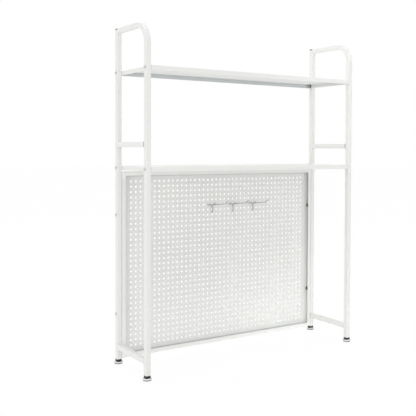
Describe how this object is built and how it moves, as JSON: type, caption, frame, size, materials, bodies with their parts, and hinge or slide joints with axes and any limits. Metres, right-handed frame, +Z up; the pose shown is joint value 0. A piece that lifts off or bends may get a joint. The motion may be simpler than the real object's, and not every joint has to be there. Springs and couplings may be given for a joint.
{
  "type": "desktop hutch",
  "caption": "Steel desktop hutch with bent square tube side frames, folded shelves above a perforated board, wire hooks and levelling feet.",
  "frame": {"origin": "on the floor under the middle of the hutch", "axes": "+X to the right, +Y to the back, +Z up"},
  "size_m": [0.761, 0.211, 0.98],
  "materials": {
    "white_tube": "satin white powder coat on square steel tube",
    "white_sheet": "satin white powder coat on folded steel sheet",
    "black_plastic": "moulded black plastic",
    "white_plastic": "moulded white plastic",
    "black_rubber": "moulded rubber",
    "zinc_steel": "zinc plated",
    "black_steel": "black oxide",
    "chrome_wire": "chrome plated wire"
  },
  "bodies": {
    "frame": {"left_rear_post": "white_tube", "left_front_hoop": "white_tube", "left_upper_rung": "white_tube", "left_lower_rung": "white_tube", "left_top_cap": "black_plastic", "right_rear_post": "white_tube", "right_front_hoop": "white_tube", "right_upper_rung": "white_tube", "right_lower_rung": "white_tube", "right_top_cap": "black_plastic", "top_shelf": "white_sheet", "mid_shelf": "white_sheet", "pegboard": "white_sheet", "top_shelf_bolts": "zinc_steel", "top_shelf_nuts": "black_steel", "mid_shelf_bolts": "zinc_steel", "mid_shelf_nuts": "black_steel", "pegboard_bolts": "zinc_steel", "pegboard_nuts": "black_steel", "left_front_foot_plug": "black_plastic", "left_rear_foot_plug": "black_plastic", "right_front_foot_plug": "black_plastic", "right_rear_foot_plug": "black_plastic"},
    "left_front_foot_pad_body": {"left_front_foot_pad": "white_plastic", "left_front_foot_sole": "black_rubber"},
    "left_front_foot_stud_body": {"left_front_foot_stud": "zinc_steel"},
    "left_rear_foot_pad_body": {"left_rear_foot_pad": "white_plastic", "left_rear_foot_sole": "black_rubber"},
    "left_rear_foot_stud_body": {"left_rear_foot_stud": "zinc_steel"},
    "right_front_foot_pad_body": {"right_front_foot_pad": "white_plastic", "right_front_foot_sole": "black_rubber"},
    "right_front_foot_stud_body": {"right_front_foot_stud": "zinc_steel"},
    "right_rear_foot_pad_body": {"right_rear_foot_pad": "white_plastic", "right_rear_foot_sole": "black_rubber"},
    "right_rear_foot_stud_body": {"right_rear_foot_stud": "zinc_steel"},
    "left_hook_body": {"left_hook": "chrome_wire"},
    "middle_hook_body": {"middle_hook": "chrome_wire"},
    "right_hook_body": {"right_hook": "chrome_wire"}
  },
  "joints": [
    {"name": "left_front_foot_height", "type": "slide", "parent": "frame", "child": "left_front_foot_pad_body", "axis": [0, 0, -1], "range_m": [0, 0.008]},
    {"name": "left_front_foot_screw", "type": "hinge", "parent": "left_front_foot_pad_body", "child": "left_front_foot_stud_body", "pos_m": [-0.3675, -0.0925, 0.01], "axis": [0, 0, -1], "range_deg": [0, 2890]},
    {"name": "left_rear_foot_height", "type": "slide", "parent": "frame", "child": "left_rear_foot_pad_body", "axis": [0, 0, -1], "range_m": [0, 0.008]},
    {"name": "left_rear_foot_screw", "type": "hinge", "parent": "left_rear_foot_pad_body", "child": "left_rear_foot_stud_body", "pos_m": [-0.3675, 0.0925, 0.01], "axis": [0, 0, -1], "range_deg": [0, 2890]},
    {"name": "right_front_foot_height", "type": "slide", "parent": "frame", "child": "right_front_foot_pad_body", "axis": [0, 0, -1], "range_m": [0, 0.008]},
    {"name": "right_front_foot_screw", "type": "hinge", "parent": "right_front_foot_pad_body", "child": "right_front_foot_stud_body", "pos_m": [0.3675, -0.0925, 0.01], "axis": [0, 0, -1], "range_deg": [0, 2890]},
    {"name": "right_rear_foot_height", "type": "slide", "parent": "frame", "child": "right_rear_foot_pad_body", "axis": [0, 0, -1], "range_m": [0, 0.008]},
    {"name": "right_rear_foot_screw", "type": "hinge", "parent": "right_rear_foot_pad_body", "child": "right_rear_foot_stud_body", "pos_m": [0.3675, 0.0925, 0.01], "axis": [0, 0, -1], "range_deg": [0, 2890]},
    {"name": "left_hook_tilt", "type": "hinge", "parent": "frame", "child": "left_hook_body", "pos_m": [-0.0395, 0.0965, 0.4545], "axis": [-1, 0, 0], "range_deg": [0, 15]},
    {"name": "middle_hook_tilt", "type": "hinge", "parent": "frame", "child": "middle_hook_body", "pos_m": [0.0395, 0.0965, 0.4545], "axis": [-1, 0, 0], "range_deg": [0, 15]},
    {"name": "right_hook_tilt", "type": "hinge", "parent": "frame", "child": "right_hook_body", "pos_m": [0.1185, 0.0965, 0.4545], "axis": [-1, 0, 0], "range_deg": [0, 15]}
  ],
  "couplings": [
    {"joint": "left_front_foot_screw", "follows": "left_front_foot_height", "rad_per_m": 6283.2},
    {"joint": "left_rear_foot_screw", "follows": "left_rear_foot_height", "rad_per_m": 6283.2},
    {"joint": "right_front_foot_screw", "follows": "right_front_foot_height", "rad_per_m": 6283.2},
    {"joint": "right_rear_foot_screw", "follows": "right_rear_foot_height", "rad_per_m": 6283.2}
  ]
}
